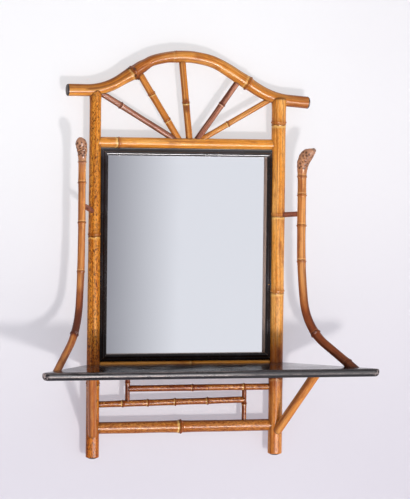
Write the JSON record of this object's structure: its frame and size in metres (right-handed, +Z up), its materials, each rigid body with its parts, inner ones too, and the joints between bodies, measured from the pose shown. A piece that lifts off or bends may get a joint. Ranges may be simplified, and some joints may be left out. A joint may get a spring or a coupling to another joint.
{
  "type": "bamboo wall mirror with shelf",
  "caption": "Wall mirror in a jointed bamboo frame with an arched top and a fan of canes, a tapering black lacquered shelf on braces, side arms of root cane and a mitred black frame.",
  "frame": {"origin": "on the wall plane, midway between the two hanging holes in the plates on the backs of the posts", "axes": "+Z up, +Y into the wall, so the glass faces -Y; +X to the right as one looks into the glass"},
  "size_m": [0.7126, 0.2361, 0.8512],
  "materials": {
    "bamboo_honey": "varnished bamboo, warm honey",
    "bamboo_mottled": "varnished bamboo, mottled by scorching",
    "bamboo_reddened": "varnished bamboo, reddish brown",
    "root_cane": "varnished root cane, scorched reddish brown",
    "dark_peg": "dark stained cane",
    "ebonised_plug": "blackened wood",
    "shelf_lacquer": "glossy black lacquer, worn at the edges",
    "frame_lacquer": "glossy black lacquer",
    "silvered_glass": "silvered plate glass",
    "pine_backing": "bare aged pine",
    "dowel_wood": "bare beech",
    "steel": "dull wire",
    "hanger_brass": "dull brass"
  },
  "bodies": {
    "root": {"arch_plug_left": "ebonised_plug", "arch_plug_right": "ebonised_plug", "arch_rail": "bamboo_honey", "arm_pins": "dowel_wood", "backing_board": "pine_backing", "bottom_crossrail": "bamboo_honey", "bottom_rail_dowels": "dowel_wood", "brace_pins": "dowel_wood", "foot_plug_left": "ebonised_plug", "foot_plug_right": "ebonised_plug", "frame_bottom": "frame_lacquer", "frame_left": "frame_lacquer", "frame_nails": "steel", "frame_right": "frame_lacquer", "frame_top": "frame_lacquer", "fret_pins": "steel", "fret_rail_lower": "bamboo_honey", "fret_rail_upper": "bamboo_honey", "fret_strut_left": "bamboo_honey", "fret_strut_right": "bamboo_honey", "glazing_sprigs": "steel", "hanger_plate_left": "hanger_brass", "hanger_plate_right": "hanger_brass", "hanger_screws": "hanger_brass", "left_arm": "root_cane", "left_brace": "bamboo_honey", "left_peg": "dark_peg", "left_post": "bamboo_mottled", "mirror_glass": "silvered_glass", "mitre_clips": "steel", "post_top_dowel_left": "dowel_wood", "post_top_dowel_right": "dowel_wood", "right_arm": "root_cane", "right_brace": "bamboo_honey", "right_peg": "dark_peg", "right_post": "bamboo_honey", "shelf_board": "shelf_lacquer", "shelf_screws": "steel", "sill_rail": "bamboo_honey", "sill_rail_dowels": "dowel_wood", "spoke_centre": "bamboo_honey", "spoke_inner_left": "bamboo_honey", "spoke_inner_right": "bamboo_reddened", "spoke_outer_left": "bamboo_reddened", "spoke_outer_right": "bamboo_honey", "spoke_pins": "steel", "upper_crossrail": "bamboo_honey", "upper_rail_dowels": "dowel_wood"}
  },
  "joints": []
}
